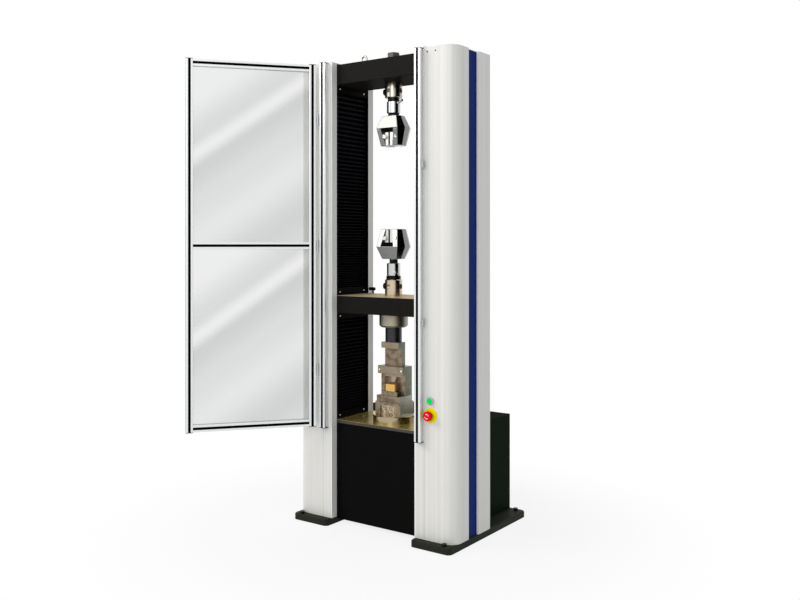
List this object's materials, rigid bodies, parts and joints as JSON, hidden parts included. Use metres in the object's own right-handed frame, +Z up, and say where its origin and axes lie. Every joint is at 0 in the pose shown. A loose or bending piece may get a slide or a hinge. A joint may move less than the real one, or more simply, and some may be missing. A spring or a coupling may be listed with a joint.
{
  "type": "universal testing machine",
  "caption": "Floor-standing universal testing machine: screw-driven crosshead between two columns, wedge grips above, press fixture below, hinged clear guard door.",
  "frame": {"origin": "on the floor, under the load axis, midway between the two columns", "axes": "+Z up along the load axis, -Y towards the front with the guard door, +X to the right column"},
  "size_m": [1.0574, 1.0749, 2.0655],
  "materials": {
    "white_paint": "satin powder coat",
    "blue_paint": "satin powder coat",
    "black_paint": "fine textured powder coat",
    "beam_black": "satin black paint",
    "foot_paint": "dark grey paint",
    "table_steel": "ground and oiled",
    "shaft_steel": "ground",
    "bronze": "turned",
    "nickel": "satin nickel plate",
    "dark_pin": "black oxide",
    "grip_chrome": "polished",
    "jaw_steel": "ground",
    "tool_steel": "milled",
    "specimen_wood": "sawn",
    "bellows_rubber": "moulded folds",
    "belt_rubber": "moulded",
    "profile_aluminium": "anodised",
    "clear_pane": "clear sheet",
    "motor_paint": "satin paint",
    "drive_case": "moulded",
    "bezel_chrome": "polished",
    "green_plastic": "moulded",
    "red_plastic": "moulded",
    "yellow_plastic": "moulded",
    "black_plastic": "moulded"
  },
  "bodies": {
    "frame": {"front_casings": "white_paint", "rear_casings": "white_paint", "top_caps": "white_paint", "trim_strips": "blue_paint", "front_panel": "black_paint", "rear_cabinet": "black_paint", "rear_cover": "black_paint", "fixed_flanges": "black_paint", "top_beam": "beam_black", "feet": "foot_paint", "base_frame": "foot_paint", "worktable": "table_steel", "guide_columns": "shaft_steel", "screw_bearings": "shaft_steel", "draw_nut": "shaft_steel", "lifting_eyes": "shaft_steel", "levelling_bolts": "shaft_steel", "upper_socket": "nickel", "upper_cross_pin": "dark_pin", "upper_grip_body": "grip_chrome", "fixture_disc": "tool_steel", "fixture_base": "tool_steel", "fixture_frame": "tool_steel", "wood_specimen": "specimen_wood", "upper_bellows": "bellows_rubber", "lower_bellows": "bellows_rubber", "drive_belts": "belt_rubber", "door_posts": "profile_aluminium", "post_hinges": "profile_aluminium", "door_catches": "profile_aluminium", "drive_motor": "motor_paint", "servo_drive": "drive_case", "switch_barrels": "bezel_chrome", "stop_plate": "yellow_plastic"},
    "crosshead": {"crosshead_beam": "beam_black", "ball_nuts": "shaft_steel", "guide_bushes": "bronze", "moving_flanges": "black_paint", "load_cell": "nickel", "press_adapter": "dark_pin", "press_ram": "tool_steel", "limit_trip": "black_paint", "lower_socket": "nickel", "lower_cross_pin": "dark_pin", "lower_grip_body": "grip_chrome"},
    "left_screw": {"left_screw": "shaft_steel"},
    "right_screw": {"right_screw": "shaft_steel"},
    "motor_pulley": {"motor_pulley": "shaft_steel"},
    "upper_sleeve": {"upper_sleeve": "grip_chrome"},
    "upper_jaw_left": {"upper_jaw_left": "jaw_steel"},
    "upper_jaw_right": {"upper_jaw_right": "jaw_steel"},
    "lower_sleeve": {"lower_sleeve": "grip_chrome"},
    "lower_jaw_left": {"lower_jaw_left": "jaw_steel"},
    "lower_jaw_right": {"lower_jaw_right": "jaw_steel"},
    "door": {"door_frame": "profile_aluminium", "door_panes": "clear_pane", "door_hinges": "profile_aluminium"},
    "power_button": {"power_button": "green_plastic"},
    "stop_stem": {"stop_stem": "black_plastic"},
    "stop_head": {"stop_head": "red_plastic"}
  },
  "joints": [
    {"name": "right_screw_spin", "type": "hinge", "parent": "frame", "child": "right_screw", "pos_m": [0.335, 0, 0.453], "axis": [0, 0, 1], "range_deg": [-12250, 110]},
    {"name": "left_screw_spin", "type": "hinge", "parent": "frame", "child": "left_screw", "pos_m": [-0.335, 0, 0.453], "axis": [0, 0, 1], "range_deg": [-12250, 110]},
    {"name": "motor_spin", "type": "hinge", "parent": "frame", "child": "motor_pulley", "pos_m": [0.11, 0.024, 0.32], "axis": [0, 0, 1], "range_deg": [-24500, 220]},
    {"name": "crosshead_slide", "type": "slide", "parent": "frame", "child": "crosshead", "axis": [0, 0, 1], "range_m": [-0.003, 0.34], "deforming": ["upper_bellows", "lower_bellows"]},
    {"name": "upper_sleeve_turn", "type": "hinge", "parent": "frame", "child": "upper_sleeve", "pos_m": [0, 0, 1.817], "axis": [0, 0, 1], "range_deg": [-630, 1350]},
    {"name": "upper_jaw_right_slide", "type": "slide", "parent": "frame", "child": "upper_jaw_right", "axis": [0.2079, 0, 0.9781], "range_m": [-0.0071, 0.0151]},
    {"name": "upper_jaw_left_slide", "type": "slide", "parent": "frame", "child": "upper_jaw_left", "axis": [-0.2079, 0, 0.9781], "range_m": [-0.0071, 0.0151]},
    {"name": "lower_sleeve_turn", "type": "hinge", "parent": "crosshead", "child": "lower_sleeve", "pos_m": [0, 0, 1.112], "axis": [0, 0, 1], "range_deg": [-630, 1350]},
    {"name": "lower_jaw_right_slide", "type": "slide", "parent": "crosshead", "child": "lower_jaw_right", "axis": [0.2079, 0, -0.9781], "range_m": [-0.0071, 0.0151]},
    {"name": "lower_jaw_left_slide", "type": "slide", "parent": "crosshead", "child": "lower_jaw_left", "axis": [-0.2079, 0, -0.9781], "range_m": [-0.0071, 0.0151]},
    {"name": "door_swing", "type": "hinge", "parent": "frame", "child": "door", "pos_m": [-0.272, -0.19, 1.2165], "axis": [0, 0, 1], "range_deg": [-30, 128.6]},
    {"name": "power_button_press", "type": "slide", "parent": "frame", "child": "power_button", "axis": [0, 1, 0], "range_m": [0, 0.003], "stiffness_N_per_m": 1000},
    {"name": "stop_press", "type": "slide", "parent": "frame", "child": "stop_stem", "axis": [0, 1, 0], "range_m": [0, 0.005]},
    {"name": "stop_twist", "type": "hinge", "parent": "stop_stem", "child": "stop_head", "pos_m": [0.297, -0.18, 0.533], "axis": [0, 1, 0], "range_deg": [0, 45], "stiffness_Nm_per_rad": 0.1}
  ],
  "couplings": [
    {"joint": "right_screw_spin", "follows": "crosshead_slide", "rad_per_m": -628.32},
    {"joint": "left_screw_spin", "follows": "crosshead_slide", "rad_per_m": -628.32},
    {"joint": "motor_spin", "follows": "crosshead_slide", "rad_per_m": -1256.6},
    {"joint": "upper_jaw_right_slide", "follows": "upper_sleeve_turn", "m_per_rad": 0.00063662},
    {"joint": "upper_jaw_left_slide", "follows": "upper_sleeve_turn", "m_per_rad": 0.00063662},
    {"joint": "lower_jaw_right_slide", "follows": "lower_sleeve_turn", "m_per_rad": 0.00063662},
    {"joint": "lower_jaw_left_slide", "follows": "lower_sleeve_turn", "m_per_rad": 0.00063662}
  ]
}
